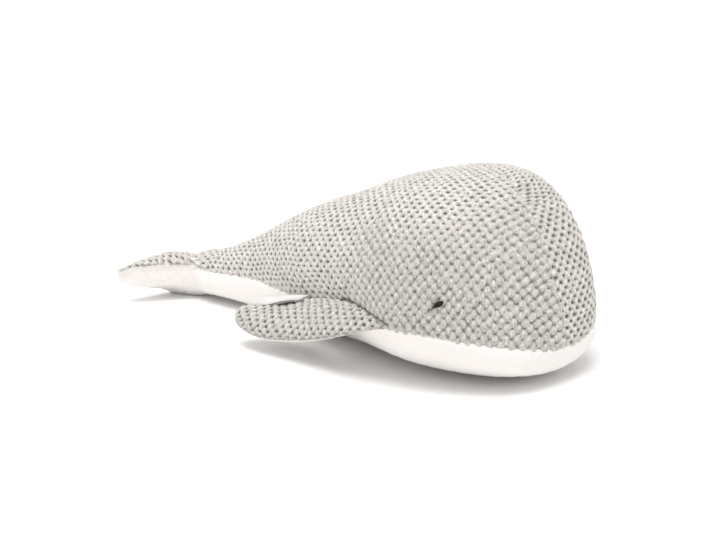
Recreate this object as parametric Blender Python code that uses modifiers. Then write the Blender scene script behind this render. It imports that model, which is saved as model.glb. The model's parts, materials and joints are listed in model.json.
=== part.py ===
"""Plush whale: a stuffed toy that lies on its belly, with a knitted back, a plush
belly, two flippers and a tail fluke that can be lifted.

The frame is +X towards the nose, +Y to the whale's left and +Z up, in metres. The
origin is the middle of the whole toy, on the surface that it lies on.

Every soft form is a coarse cage with Subdivision Surface, settled until the smooth
form passes through the sizes named here, and that form is the filling. The cloth over
it is the same form split into its sewn panels: each panel is lifted off the filling,
drawn back from its seams and given its thickness by Solidify.
"""

import math

import bmesh
import bpy
import numpy as np
from mathutils import Matrix, Vector

# Driving sizes of the whole toy, over its cloth

body_length = 0.3507         # nose to the cut where the fluke bends
fluke_length = 0.0493        # that cut to the back of the fluke
body_width = 0.1864
body_height = 0.1405
side_seam_share = 0.302      # of the height: knit meets plush, at the widest section
nose_height_share = 0.189    # foremost point, where the three panels meet
head_reach = 0.079           # nose to the widest section

# Cloth and clearances

cloth_thickness = 0.0016
layer_gap = 0.0003           # between filling and cloth, and between pieces
seam_gap = 0.0006            # between two panels along a seam
rest_cut = 0.0005            # depth of the flat under the belly

# Fluke

fluke_span = 0.142
fluke_seam_share = 0.2036    # of the body's height: knit meets plush round its edge
fluke_rise_share = 0.0982    # top of the stock over that seam
fluke_fall_share = 0.1779    # bottom of the stock under that seam
fluke_tuck = 0.012           # how far the uncut fluke runs into the body

# Flippers

flipper_setback = 0.0810     # nose to the front end of the sewn root
flipper_root_share = 0.3132  # of the body's height
flipper_length = 0.157
flipper_width = 0.048
flipper_drop = 0.0255        # outer edge below the root
flipper_thickness = 0.0205
flipper_tuck = 0.013         # how far the uncut root runs into the body
hinge_rise = 0.0085          # root hinge over the middle of the root

# Eyes

eye_length = 0.0105
eye_width = 0.0050
eye_thickness = 0.0011
eye_setback = 0.0475         # nose to the middle of the eye
eye_height_share = 0.450
eye_tilt = math.radians(33)

# Care label, a folded ribbon in the flipper's edge seam

label_width = 0.014
label_cloth = 0.0003
label_fold_gap = 0.0005
# Plan places of its inner edge on the flipper: along the length, out by the width
label_start_shares = (0.669, -0.683)
label_end_shares = (0.873, -0.579)
label_steps = 6
label_across_shares = (0.0, 0.34, 0.67, 1.0)

# Cutting tools

cutter_overrun = 0.020

# Shapes, as shares of the sizes above

# Sections of the back and tail, from the cut forwards: place along the body from the
# cut to the widest section, half width, top, side seam, bottom
body_station_shares = (
    (-0.030, 0.253, 0.302, 0.675, 0.026),
    (0.020, 0.253, 0.312, 0.682, 0.026),
    (0.130, 0.262, 0.382, 0.733, 0.023),
    (0.260, 0.300, 0.498, 0.772, 0.007),
    (0.410, 0.420, 0.640, 0.797, 0.0),
    (0.560, 0.548, 0.754, 0.838, 0.0),
    (0.710, 0.660, 0.857, 0.906, 0.0),
    (0.865, 0.874, 0.957, 0.981, 0.0),
    (1.000, 1.000, 1.000, 1.000, 0.0),
)
# Sections of the head, by the share of the quarter turn from there to the nose
head_station_shares = (
    (0.21, 0.933, 0.962, 0.964, 0.002),
    (0.40, 0.800, 0.806, 0.916, 0.017),
    (0.58, 0.637, 0.580, 0.838, 0.041),
    (0.74, 0.445, 0.384, 0.754, 0.068),
    (0.88, 0.224, 0.263, 0.680, 0.122),
)
# A section is widest at this share of its height, and rounds off from there up to
# the back and down to the belly by these powers
widest_height_share = 0.377
back_round_powers = (0.853, 0.867)
belly_round_powers = (1.0, 0.9)
section_up_shares = (0.0, 0.33, 0.66, 1.0)
section_down_shares = (0.34, 0.67, 1.0)
settle_rounds = 12

# Fluke stations from inside the body to the back: place behind the cut, half width,
# rise and fall of the crown, drop of the seam, bow of the middle
fluke_station_shares = (
    (None, 0.330, 0.0, 0.0, 0.0, 0.0),
    (-0.020, 0.330, 0.98, 1.00, 0.0, 0.0),
    (0.200, 0.345, 0.86, 1.02, 0.0, 0.0),
    (0.440, 0.560, 0.72, 1.08, 0.02, 0.0),
    (0.680, 0.810, 0.62, 1.06, 0.08, 0.0),
    (0.900, 1.000, 0.46, 0.78, 0.14, 0.0),
    (1.000, 0.900, 0.0, 0.0, 0.16, 0.0),
)
stock_rise_shares = (0.70, 0.94, 1.0, 0.94, 0.70)
stock_fall_shares = (0.86, 0.97, 1.0, 0.97, 0.86)
lobe_crown_shares = (0.50, 0.86, 1.0, 0.86, 0.50)

# Flipper plan, from the root to the tip: along the length, outwards from the root
# front by the width, down by the drop
flipper_front_shares = (
    (0.00, 0.00, 0.00),
    (0.16, 0.06, 0.24),
    (0.34, 0.05, 0.58),
    (0.54, 0.01, 0.86),
    (0.75, 0.02, 1.00),
    (0.92, -0.04, 0.88),
    (0.98, -0.20, 0.72),
)
flipper_back_shares = (
    (0.42, -0.50, 0.02),
    (0.51, -0.60, 0.08),
    (0.62, -0.72, 0.17),
    (0.74, -0.78, 0.28),
    (0.86, -0.72, 0.38),
    (0.95, -0.50, 0.52),
    (0.98, -0.32, 0.64),
)
flipper_crown_shares = (0.52, 0.80, 0.96, 1.00, 0.92, 0.64, 0.0)
across_crown_shares = (0.78, 1.0, 0.78)

# Eye outline, from its low back end to its high front end
eye_place_shares = (0.0, 0.22, 0.50, 0.78, 1.0)
eye_upper_shares = (0.05, 0.34, 0.46, 0.40, 0.05)
eye_lower_shares = (-0.05, -0.30, -0.60, -0.56, -0.05)
eye_crown_shares = (0.0, 0.9, 1.2, 0.9, 0.0)

# Sizes that follow

overall_length = body_length + fluke_length
side_seam_height = side_seam_share * body_height
nose_height = nose_height_share * body_height
fluke_seam_height = fluke_seam_share * body_height
fluke_rise = fluke_rise_share * body_height
fluke_fall = fluke_fall_share * body_height
flipper_root_height = flipper_root_share * body_height
eye_height = eye_height_share * body_height
nose_x = overall_length / 2
flipper_root_x = nose_x - flipper_setback
eye_x = nose_x - eye_setback
cut_x = nose_x - body_length
widest_x = nose_x - head_reach
cloth_lift = layer_gap + cloth_thickness
half_width = body_width / 2

parts = bpy.data.collections.new("plush_whale")
cutters = bpy.data.collections.new("cutters")


def clear_scene():
    """An empty scene with the two collections of this model."""
    for thing in list(bpy.data.objects):
        bpy.data.objects.remove(thing, do_unlink=True)
    bpy.context.scene.collection.children.link(parts)
    bpy.context.scene.collection.children.link(cutters)


def material(name, colour, roughness):
    """A plain dielectric surface."""
    made = bpy.data.materials.new(name)
    made.use_nodes = True
    shader = made.node_tree.nodes["Principled BSDF"]
    shader.inputs["Base Color"].default_value = (*colour, 1.0)
    shader.inputs["Roughness"].default_value = roughness
    shader.inputs["Metallic"].default_value = 0.0
    made.diffuse_color = (*colour, 1.0)
    return made


def object_from(bm, name, collection, finish=None):
    """A new object, shaded smooth, that takes the bmesh and frees it."""
    mesh = bpy.data.meshes.new(name)
    for face in bm.faces:
        face.smooth = True
    bm.to_mesh(mesh)
    bm.free()
    thing = bpy.data.objects.new(name, mesh)
    collection.objects.link(thing)
    if finish is not None:
        mesh.materials.clear()
        mesh.materials.append(finish)
    return thing


def add_subdivision(thing, levels=1):
    smooth = thing.modifiers.new("Smooth form", "SUBSURF")
    smooth.levels = levels
    smooth.render_levels = levels
    return smooth


def add_cut(thing, cutter):
    cut = thing.modifiers.new("Cut", "BOOLEAN")
    cut.operation = "DIFFERENCE"
    cut.solver = "EXACT"
    cut.object = cutter
    return cut


def settle(thing):
    """Moves the cage until its smooth form passes through the places first given."""
    goals = [vert.co.copy() for vert in thing.data.vertices]
    for _ in range(settle_rounds):
        smooth = evaluated_bmesh(thing)
        smooth.verts.ensure_lookup_table()
        for number, (vert, goal) in enumerate(zip(thing.data.vertices, goals)):
            vert.co += goal - smooth.verts[number].co
        smooth.free()
        thing.data.update()


def evaluated_bmesh(thing):
    """The object's mesh with its modifiers, as a bmesh in world space."""
    graph = bpy.context.evaluated_depsgraph_get()
    graph.update()
    bm = bmesh.new()
    bm.from_object(thing, graph)
    bm.transform(thing.matrix_world)
    return bm


def as_cutter(thing):
    thing.hide_render = True
    thing.display_type = "WIRE"
    return thing


def half_width_at(x):
    """Half width of the body over its cloth at x."""
    back = widest_x - cut_x
    places = [cut_x + row[0] * back for row in body_station_shares]
    widths = [row[1] * half_width for row in body_station_shares]
    for row in head_station_shares:
        places.append(widest_x + head_reach * math.sin(row[0] * math.pi / 2))
        widths.append(row[1] * half_width)
    return float(np.interp(x, places, widths))


def body_sections():
    """Place, half width, top, seam and bottom of each section of the filling."""
    back = widest_x - cut_x
    rows = []
    for place, width, top, seam, bottom in body_station_shares:
        rows.append((cut_x + place * back, width, top, seam, bottom))
    for turn, width, top, seam, bottom in head_station_shares:
        reach = (head_reach - cloth_lift) * math.sin(turn * math.pi / 2)
        rows.append((widest_x + reach, width, top, seam, bottom))
    sections = []
    for x, width, top, seam, bottom in rows:
        sections.append((
            x,
            width * half_width - cloth_lift,
            top * body_height - cloth_lift,
            seam * side_seam_height,
            bottom * body_height + cloth_lift - rest_cut,
        ))
    return sections


def section_point(turn, width, top, middle, bottom):
    """The point at one turn round a section, from -1 at the belly to 1 at the back."""
    angle = turn * math.pi / 2
    if turn >= 0:
        y = width * max(math.cos(angle), 0.0) ** back_round_powers[0]
        return y, middle + (top - middle) * math.sin(angle) ** back_round_powers[1]
    y = width * max(math.cos(angle), 0.0) ** belly_round_powers[0]
    return y, middle - (middle - bottom) * math.sin(-angle) ** belly_round_powers[1]


def seam_turn(top, seam, middle, bottom):
    """The turn at which a section reaches the height of the side seam."""
    if seam >= middle:
        share = ((seam - middle) / (top - middle)) ** (1 / back_round_powers[1])
        return math.asin(share) * 2 / math.pi
    share = ((middle - seam) / (middle - bottom)) ** (1 / belly_round_powers[1])
    return -math.asin(share) * 2 / math.pi


def section_ring(x, width, top, seam, bottom):
    """Points round one section: right seam, over the back, left seam, belly."""
    level = bottom + (top - bottom) * widest_height_share
    turned = max(0.0, x - widest_x) / head_reach
    middle = level + (nose_height - level) * turned ** 3
    start = seam_turn(top, seam, middle, bottom)
    up = [start + (1 - start) * share for share in section_up_shares]
    down = [start - (1 + start) * share for share in section_down_shares]
    turns = up + up[-2::-1] + down + down[-2::-1]
    sides = [-1] * len(up) + [1] * (len(up) - 1 + len(down)) + [-1] * (len(down) - 1)
    ring = []
    for turn, side in zip(turns, sides):
        y, z = section_point(turn, width, top, middle, bottom)
        ring.append(Vector((x, side * y, z)))
    return ring


def body_cage():
    """Rings joined along the body and closed at the nose and behind the cut. The
    material index names the panel: 0 right back, 1 left back, 2 belly."""
    bm = bmesh.new()
    rings = []
    for section in body_sections():
        rings.append([bm.verts.new(point) for point in section_ring(*section)])
    count = len(rings[0])
    up_steps = len(section_up_shares) - 1

    def panel(step):
        if step < up_steps:
            return 0
        return 1 if step < 2 * up_steps else 2

    for near, far in zip(rings, rings[1:]):
        for step in range(count):
            after = (step + 1) % count
            face = bm.faces.new((near[step], near[after], far[after], far[step]))
            face.material_index = panel(step)
    nose = bm.verts.new((nose_x - cloth_lift, 0.0, nose_height))
    tail_x, _, tail_top, _, tail_bottom = body_sections()[0]
    tail = bm.verts.new((tail_x, 0.0, (tail_top + tail_bottom) / 2))
    for step in range(count):
        after = (step + 1) % count
        face = bm.faces.new((rings[-1][step], rings[-1][after], nose))
        face.material_index = panel(step)
        face = bm.faces.new((rings[0][after], rings[0][step], tail))
        face.material_index = panel(step)
    return facing_out(bm)


def facing_out(bm):
    """The closed cage with all its faces turned outwards."""
    bmesh.ops.recalc_face_normals(bm, faces=bm.faces)
    if bm.calc_volume(signed=True) < 0:
        bmesh.ops.reverse_faces(bm, faces=bm.faces)
    return bm


def pillow_cage(front, back, rise, fall, bows=None):
    """Two panels sewn round their edge: index 0 over the edge seam, 1 under it.
    front and back are the edge points of each station, rise and fall the crown of
    each station at the rows between its edges, and bows how far the middle of each
    station leans along X."""
    bm = bmesh.new()
    rows = len(rise[0])
    last = len(front) - 1
    bows = bows or [0.0] * len(front)
    top, under = [], []
    for number, (a, b) in enumerate(zip(front, back)):
        edge_a, edge_b = bm.verts.new(a), bm.verts.new(b)
        over_row, under_row = [edge_a], [edge_a]
        for row in range(rows):
            share = (row + 1) / (rows + 1)
            point = a.lerp(b, share)
            point.x += bows[number] * 4 * share * (1 - share)
            if number in (0, last):
                shared = bm.verts.new(point)
                over_row.append(shared)
                under_row.append(shared)
                continue
            over_row.append(bm.verts.new(point + Vector((0, 0, rise[number][row]))))
            under_row.append(bm.verts.new(point - Vector((0, 0, fall[number][row]))))
        top.append(over_row + [edge_b])
        under.append(under_row + [edge_b])
    for index, sheet in enumerate((top, under)):
        for near, far in zip(sheet, sheet[1:]):
            for row in range(rows + 1):
                face = bm.faces.new((near[row], near[row + 1], far[row + 1], far[row]))
                face.material_index = index
    return facing_out(bm)


def panel_of(form, index, name, finish):
    """Cloth panel over one material index of a smooth form: drawn back from its
    seams, lifted off the filling and given its thickness."""
    bm = evaluated_bmesh(form)
    others = [face for face in bm.faces if face.material_index != index]
    bmesh.ops.delete(bm, geom=others, context="FACES")
    ring = bmesh.ops.inset_region(
        bm, faces=bm.faces[:], thickness=seam_gap / 2, use_even_offset=True)
    bmesh.ops.delete(bm, geom=ring["faces"], context="FACES")
    for face in bm.faces:
        face.material_index = 0
    panel = object_from(bm, name, parts, finish)
    cloth = panel.modifiers.new("Cloth", "SOLIDIFY")
    cloth.thickness = cloth_thickness
    cloth.offset = 1 + 2 * layer_gap / cloth_thickness
    return panel


def filling_of(form, name, finish):
    """The solid filling: the smooth form itself."""
    bm = form.data.copy()
    thing = bpy.data.objects.new(name, bm)
    parts.objects.link(thing)
    thing.data.materials.clear()
    thing.data.materials.append(finish)
    for face in thing.data.polygons:
        face.material_index = 0
    add_subdivision(thing)
    return thing


def box_cutter(name, low, high):
    bm = bmesh.new()
    bmesh.ops.create_cube(bm, size=1.0)
    size = [b - a for a, b in zip(low, high)]
    middle = [(a + b) / 2 for a, b in zip(low, high)]
    bmesh.ops.scale(bm, vec=size, verts=bm.verts)
    bmesh.ops.translate(bm, vec=middle, verts=bm.verts)
    return as_cutter(object_from(bm, name, cutters))


def form_guide(bm, name):
    """A smooth form kept only as a guide for the cloth and the cuts."""
    guide = as_cutter(object_from(bm, name, cutters))
    add_subdivision(guide)
    settle(guide)
    return guide


def clearance_cutter(form, lift):
    """The form grown along its normals, which cuts what meets the body."""
    bm = evaluated_bmesh(form)
    bm.normal_update()
    moved = [vert.co + vert.normal * lift for vert in bm.verts]
    for vert, place in zip(bm.verts, moved):
        vert.co = place
    return as_cutter(object_from(bm, "body_clearance", cutters))


def hinge_empty(name, place, things):
    """An empty on a joint's axis that carries the moving pieces."""
    pivot = bpy.data.objects.new(name, None)
    pivot.empty_display_size = flipper_thickness
    pivot.location = place
    parts.objects.link(pivot)
    inverse = Matrix.Translation(place).inverted()
    for thing in things:
        thing.parent = pivot
        thing.matrix_parent_inverse = inverse
    return pivot


def make_body(finishes):
    """Filling, two back panels and the belly panel, cut square for the fluke."""
    form = form_guide(body_cage(), "body_form")
    pieces = [
        filling_of(form, "body_filling", finishes["filling"]),
        panel_of(form, 0, "back_panel_right", finishes["knit"]),
        panel_of(form, 1, "back_panel_left", finishes["knit"]),
        panel_of(form, 2, "belly_panel", finishes["plush"]),
    ]
    behind = box_cutter(
        "behind_cut",
        (cut_x - body_length, -body_width, -cutter_overrun),
        (cut_x + layer_gap / 2, body_width, body_height))
    floor = box_cutter(
        "under_floor",
        (-overall_length, -body_width, -cutter_overrun),
        (overall_length, body_width, 0.0))
    for piece in pieces:
        add_cut(piece, behind)
    add_cut(pieces[-1], floor)
    return form, pieces


def fluke_cage():
    """The stock's end and both lobes, from inside the body to the back edge."""
    half_span = fluke_span / 2 - cloth_lift
    stretch = fluke_length - cloth_lift
    left, right, rise, fall, bows = [], [], [], [], []
    last = len(fluke_station_shares) - 1
    for number, row in enumerate(fluke_station_shares):
        place, width, up, down, sag, bow = row
        x = cut_x + fluke_tuck if place is None else cut_x - place * stretch
        z = fluke_seam_height - sag * fluke_fall
        right.append(Vector((x, -width * half_span, z)))
        left.append(Vector((x, width * half_span, z)))
        spread = min(1.0, max(0.0, (number - 1) * 2 / last))
        over = up * (fluke_rise - cloth_lift)
        under = down * (fluke_fall - cloth_lift)
        rise.append([over * (a + (b - a) * spread)
                     for a, b in zip(stock_rise_shares, lobe_crown_shares)])
        fall.append([under * (a + (b - a) * spread)
                     for a, b in zip(stock_fall_shares, lobe_crown_shares)])
        bows.append(-bow * stretch)
    return pillow_cage(right, left, rise, fall, bows)


def make_fluke(finishes):
    form = form_guide(fluke_cage(), "fluke_form")
    pieces = [
        filling_of(form, "fluke_filling", finishes["filling"]),
        panel_of(form, 0, "fluke_top_panel", finishes["knit"]),
        panel_of(form, 1, "fluke_under_panel", finishes["plush"]),
    ]
    ahead = box_cutter(
        "ahead_of_cut",
        (cut_x - layer_gap / 2, -body_width, -cutter_overrun),
        (cut_x + body_length, body_width, body_height))
    for piece in pieces:
        add_cut(piece, ahead)
    crest = fluke_seam_height + fluke_rise + layer_gap
    hinge_empty("fluke_hinge", Vector((cut_x, 0.0, crest)), pieces)
    return pieces


def flipper_point(side, along, out, down=0.0):
    """A place on a flipper in the world, from its shares."""
    return Vector((
        flipper_root_x - along * flipper_length,
        side * (half_width_at(flipper_root_x) + out * flipper_width),
        flipper_root_height - down * flipper_drop,
    ))


def flipper_points(side, shares):
    """Edge points of a flipper in the world, from its shares."""
    return [flipper_point(side, *row) for row in shares]


def flipper_cage(side):
    """A leaf from its root, which starts inside the body, to its tip."""
    front = flipper_points(side, flipper_front_shares)
    back = flipper_points(side, flipper_back_shares)
    inward = Vector((0.0, -side * flipper_tuck, 0.0))
    front.insert(0, front[0] + inward)
    back.insert(0, back[0] + inward)
    crowns = (0.0, *flipper_crown_shares)
    half = flipper_thickness / 2
    crown = [[share * across * half for across in across_crown_shares] for share in crowns]
    crown[1] = [flipper_crown_shares[0] * half for _ in across_crown_shares]
    return pillow_cage(front, back, crown, crown)


def make_flipper(side, word, finishes, clearance):
    form = form_guide(flipper_cage(side), f"flipper_{word}_form")
    pieces = [
        filling_of(form, f"flipper_{word}_filling", finishes["filling"]),
        panel_of(form, 0, f"flipper_{word}_top_panel", finishes["knit"]),
        panel_of(form, 1, f"flipper_{word}_under_panel", finishes["plush"]),
    ]
    for piece in pieces:
        add_cut(piece, clearance)
    return pieces


def flipper_hinge_ends(side):
    """The line along the top of the sewn root, from its back to its front."""
    ends = []
    for shares in (flipper_back_shares[0], flipper_front_shares[0]):
        x = flipper_root_x - shares[0] * flipper_length
        height = flipper_root_height + hinge_rise
        ends.append(Vector((x, side * (half_width_at(x) + layer_gap), height)))
    return ends


def make_eye(side, word, finishes, form):
    """A satin-stitched leaf on the cheek, turned to the cloth's own slope."""
    outline_top, outline_low, crown = [], [], []
    for place, upper, lower, rise in zip(
            eye_place_shares, eye_upper_shares, eye_lower_shares, eye_crown_shares):
        x = (place - 0.5) * eye_length
        outline_top.append(Vector((x, upper * eye_width, 0.0)))
        outline_low.append(Vector((x, lower * eye_width, 0.0)))
        crown.append([rise * eye_thickness / 2])
    eye = object_from(
        pillow_cage(outline_top, outline_low, crown, crown), f"eye_{word}", parts,
        finishes["thread"])
    add_subdivision(eye)
    start = Vector((eye_x, side * body_width, eye_height))
    graph = bpy.context.evaluated_depsgraph_get()
    smooth = form.evaluated_get(graph)
    found, place, normal, _ = smooth.ray_cast(start, Vector((0.0, -side, 0.0)))
    forward = Vector((1.0, 0.0, 0.0))
    forward = (forward - normal * forward.dot(normal)).normalized()
    across = normal.cross(forward)
    turn = Matrix((forward, across, normal)).transposed().to_4x4()
    lean = Matrix.Rotation(-side * eye_tilt, 4, "Z")
    if side > 0:
        lean = lean @ Matrix.Scale(-1, 4, (0, 1, 0))
    lift = normal * (cloth_lift + layer_gap + eye_thickness * 0.6)
    eye.data.transform(Matrix.Translation(place + lift) @ turn @ lean)
    if side > 0:
        eye.data.flip_normals()
    return eye


def make_label(finishes, carrier):
    """A folded ribbon that lies on the right flipper along its edge seam."""
    graph = bpy.context.evaluated_depsgraph_get()
    graph.update()
    top = carrier.evaluated_get(graph)
    first = flipper_point(-1, *label_start_shares)
    last = flipper_point(-1, *label_end_shares)
    bm = bmesh.new()
    layers = []
    for layer in range(2):
        lift = 2 * layer_gap + label_cloth / 2 + layer * (label_fold_gap + label_cloth)
        rows = []
        for step in range(label_steps + 1):
            plan = first.lerp(last, step / label_steps)
            row = []
            for across in label_across_shares:
                start = Vector((plan.x, plan.y - across * label_width, body_height))
                _, place, normal, _ = top.ray_cast(start, Vector((0.0, 0.0, -1.0)))
                row.append(bm.verts.new(place + normal * lift))
            rows.append(row)
        layers.append(rows)
    strip = layers[0] + layers[1][::-1]
    for near, far in zip(strip, strip[1:]):
        for a, b, c, d in zip(near, near[1:], far[1:], far):
            bm.faces.new((a, b, c, d))
    ribbon = object_from(bm, "care_label", parts, finishes["ribbon"])
    cloth = ribbon.modifiers.new("Cloth", "SOLIDIFY")
    cloth.thickness = label_cloth
    cloth.offset = 0.0
    return ribbon


def main():
    clear_scene()
    finishes = {
        "knit": material("grey_knit", (0.62, 0.60, 0.57), 0.95),
        "plush": material("white_plush", (0.93, 0.91, 0.89), 0.95),
        "filling": material("fibre_filling", (0.90, 0.90, 0.90), 1.0),
        "thread": material("black_thread", (0.015, 0.013, 0.013), 0.45),
        "ribbon": material("white_ribbon", (0.90, 0.90, 0.90), 0.6),
    }
    form, _ = make_body(finishes)
    clearance = clearance_cutter(form, cloth_lift + layer_gap)
    make_fluke(finishes)
    for side, word in ((-1, "right"), (1, "left")):
        pieces = make_flipper(side, word, finishes, clearance)
        if side < 0:
            pieces.append(make_label(finishes, pieces[1]))
        back_end, front_end = flipper_hinge_ends(side)
        hinge_empty(f"flipper_{word}_hinge", (back_end + front_end) / 2, pieces)
        make_eye(side, word, finishes, form)


main()
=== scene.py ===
# %% [markdown]
# # A stuffed whale in knitted cloth and plush
# The toy lies on its belly. Its back is a chunky knit of small bobbles, its belly is
# smooth white plush, and a tail fluke and two flippers are sewn to it. The packed
# model gives the frame and its hinges. Such a toy could be sculpted by hand or blown
# up by a cloth simulation. Here numpy works out every form on a grid instead, because
# a few traced places then fix it, the same way each time.

# %% Load the frame
import json

import bmesh
import bpy
import numpy as np
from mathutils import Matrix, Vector


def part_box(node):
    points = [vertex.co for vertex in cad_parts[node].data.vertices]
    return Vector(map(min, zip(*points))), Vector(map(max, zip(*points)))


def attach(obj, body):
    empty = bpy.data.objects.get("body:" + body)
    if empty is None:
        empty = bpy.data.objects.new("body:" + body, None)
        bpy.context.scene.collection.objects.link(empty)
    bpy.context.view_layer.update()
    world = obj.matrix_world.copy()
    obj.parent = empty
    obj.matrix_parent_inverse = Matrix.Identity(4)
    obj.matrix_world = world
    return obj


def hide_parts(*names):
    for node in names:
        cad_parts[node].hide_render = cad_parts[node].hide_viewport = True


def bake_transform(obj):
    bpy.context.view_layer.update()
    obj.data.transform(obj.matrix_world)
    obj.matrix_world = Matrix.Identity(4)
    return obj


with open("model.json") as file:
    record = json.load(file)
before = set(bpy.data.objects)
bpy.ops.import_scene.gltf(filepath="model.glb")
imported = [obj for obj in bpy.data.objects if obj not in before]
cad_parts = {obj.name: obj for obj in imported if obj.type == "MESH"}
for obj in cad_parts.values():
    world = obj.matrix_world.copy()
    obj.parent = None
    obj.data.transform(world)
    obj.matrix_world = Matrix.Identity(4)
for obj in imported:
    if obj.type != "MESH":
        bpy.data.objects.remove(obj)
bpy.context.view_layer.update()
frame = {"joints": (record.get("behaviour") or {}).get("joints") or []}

# %% [markdown]
# A stuffed toy has few true sizes, so they come first, in metres. The nose, the height
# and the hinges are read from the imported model, so that the cloth follows it. The
# others were traced from the photograph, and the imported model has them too.

# %% Sizes from the frame
mm = 0.001
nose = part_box("belly_panel")[1].x
body_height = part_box("back_panel_right")[1].z
hinges = {joint["name"]: joint for joint in frame["joints"]}
cut_x = hinges["fluke_lift"]["pos_m"][0]
body_width = 186.4 * mm
head_reach = 79 * mm             # nose to the widest section
seam_height = 0.302 * body_height
nose_height = 0.189 * body_height
widest_x = nose - head_reach
back_length = widest_x - cut_x
half_width = body_width / 2
fluke_length = 49.3 * mm
fluke_span = 142 * mm
flipper_length = 157 * mm
flipper_width = 48 * mm
flipper_drop = 25.5 * mm
flipper_thickness = 20.5 * mm
flipper_root_x = nose - 81 * mm
flipper_root_height = 0.3132 * body_height
cloth = 1.5 * mm
clearance = 0.2 * mm             # left between the cloth and the floor
print("nose", round(nose, 4), "cut", round(cut_x, 4), "height", round(body_height, 4))

# %% [markdown]
# A curve through a few chosen values gives each outline. It could be drawn as straight
# runs or arcs, but cubic pieces that share slope and bend at their ends look like
# cloth under even tension. Given four places of a cubic, they give that cubic back.

# %% Smooth curves through chosen values
def curve_through(knots, values):
    """Cubic pieces through the values. The slope at each knot makes the bend of
    both neighbours equal, and the first two and last two pieces are one cubic."""
    knots, values = np.asarray(knots, float), np.asarray(values, float)
    step, count = np.diff(knots), len(knots)
    chord = (np.diff(values, axis=0).T / step).T
    system = np.zeros((count, count))
    aims = np.zeros((count,) + values.shape[1:])
    inner = np.arange(1, count - 1)
    system[inner, inner - 1] = step[1:]
    system[inner, inner] = 2 * (step[:-1] + step[1:])
    system[inner, inner + 1] = step[:-1]
    aims[1:-1] = 3 * ((chord[:-1].T * step[1:]) + (chord[1:].T * step[:-1])).T
    for row, (near, far, first, second) in (
            (0, (0, 1, chord[0], chord[1])), (-1, (-1, -2, chord[-1], chord[-2]))):
        both = step[near] + step[far]
        system[row, near] = step[far]
        system[row, far] = both
        aims[row] = ((step[near] + 2 * both) * step[far] * first
                     + step[near] ** 2 * second) / both
    slopes = np.linalg.solve(system, aims)

    def at(places):
        """Both ends of a piece and their slopes, each weighed by a cubic."""
        places = np.asarray(places, float)
        piece = np.clip(np.searchsorted(knots, places) - 1, 0, count - 2)
        width = step[piece]
        share = (places - knots[piece]) / width
        if values.ndim > 1:
            share, width = share[..., None], width[..., None]
        start, end = values[piece], values[piece + 1]
        lead, trail = slopes[piece] * width, slopes[piece + 1] * width
        return (start * (2 * share ** 3 - 3 * share ** 2 + 1)
                + lead * (share ** 3 - 2 * share ** 2 + share)
                + end * (3 * share ** 2 - 2 * share ** 3)
                + trail * (share ** 3 - share ** 2))
    return at


def ease(value, low, high):
    """A smooth step from 0 at low to 1 at high: three times the square less twice the
    cube."""
    share = np.clip((np.asarray(value, float) - low) / (high - low), 0, 1)
    return share * share * (3 - 2 * share)


def run_lengths(points):
    """Length from the first point of each row of a grid to each of its points: the
    running sum of the steps between neighbours."""
    steps = np.linalg.norm(np.diff(points, axis=1), axis=2)
    return np.concatenate([np.zeros((len(points), 1)), np.cumsum(steps, 1)], 1)


cube = curve_through((0, 1, 2, 3), (0, 1, 8, 27))
print("the cube of 1.5 from its neighbours", round(float(cube(1.5)), 3))

# %% [markdown]
# The body is a row of sections. Each has a half width, a top, a side seam where knit
# meets plush, and a bottom, all as shares of the toy's sizes. A ball that is pulled
# into shape would do, but sections can be traced one by one. Over the head they are
# spaced by the quarter turn that leads to the nose, so the form rounds off there and
# ends in one point.

# %% The body's sections
# Place from the fluke's cut to the widest section, half width, top, seam, bottom
body_station_shares = (
    (-0.030, 0.253, 0.302, 0.675, 0.026),
    (0.020, 0.253, 0.312, 0.682, 0.026),
    (0.130, 0.262, 0.382, 0.733, 0.023),
    (0.260, 0.300, 0.498, 0.772, 0.007),
    (0.410, 0.420, 0.640, 0.797, 0.0),
    (0.560, 0.548, 0.754, 0.838, 0.0),
    (0.710, 0.660, 0.857, 0.906, 0.0),
    (0.865, 0.874, 0.957, 0.981, 0.0),
    (1.000, 1.000, 1.000, 1.000, 0.0),
)
# The same from there to the nose, by the share of the quarter turn
head_station_shares = (
    (0.21, 0.933, 0.962, 0.964, 0.002),
    (0.40, 0.800, 0.806, 0.916, 0.017),
    (0.58, 0.637, 0.580, 0.838, 0.041),
    (0.74, 0.445, 0.384, 0.754, 0.068),
    (0.88, 0.224, 0.263, 0.680, 0.122),
    (1.00, 0.000, 0.189, 0.626, 0.189),
)
quarter_turn = head_reach * np.pi / 2
widest_height_share = 0.377
# Powers of the cosine and the sine, over and under a section's widest level
back_powers = (0.853, 0.867)
belly_powers = (1.0, 0.9)
path_end = widest_x + quarter_turn
station_rows = np.array(
    [(cut_x + place * back_length, *rest) for place, *rest in body_station_shares]
    + [(widest_x + turn * quarter_turn, *rest) for turn, *rest in head_station_shares])
section_curve = curve_through(
    station_rows[:, 0],
    station_rows[:, 1:] * (half_width, body_height, seam_height, body_height))


def section_at(path):
    """Place along X, half width, top, seam, bottom and widest height at each place
    on the path, which is X up to the widest section and then an arc to the nose."""
    width, top, seam, bottom = section_curve(path).T
    turn = np.clip((path - widest_x) / quarter_turn, 0, 1) * np.pi / 2
    x = np.minimum(path, widest_x) + head_reach * np.sin(turn)
    bottom = np.maximum(bottom, 0)
    top = np.maximum(top, bottom)
    level = bottom + (top - bottom) * widest_height_share
    level = level + (nose_height - level) * np.sin(turn) ** 3
    return x, np.maximum(width, 0), top, seam, bottom, level


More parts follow.
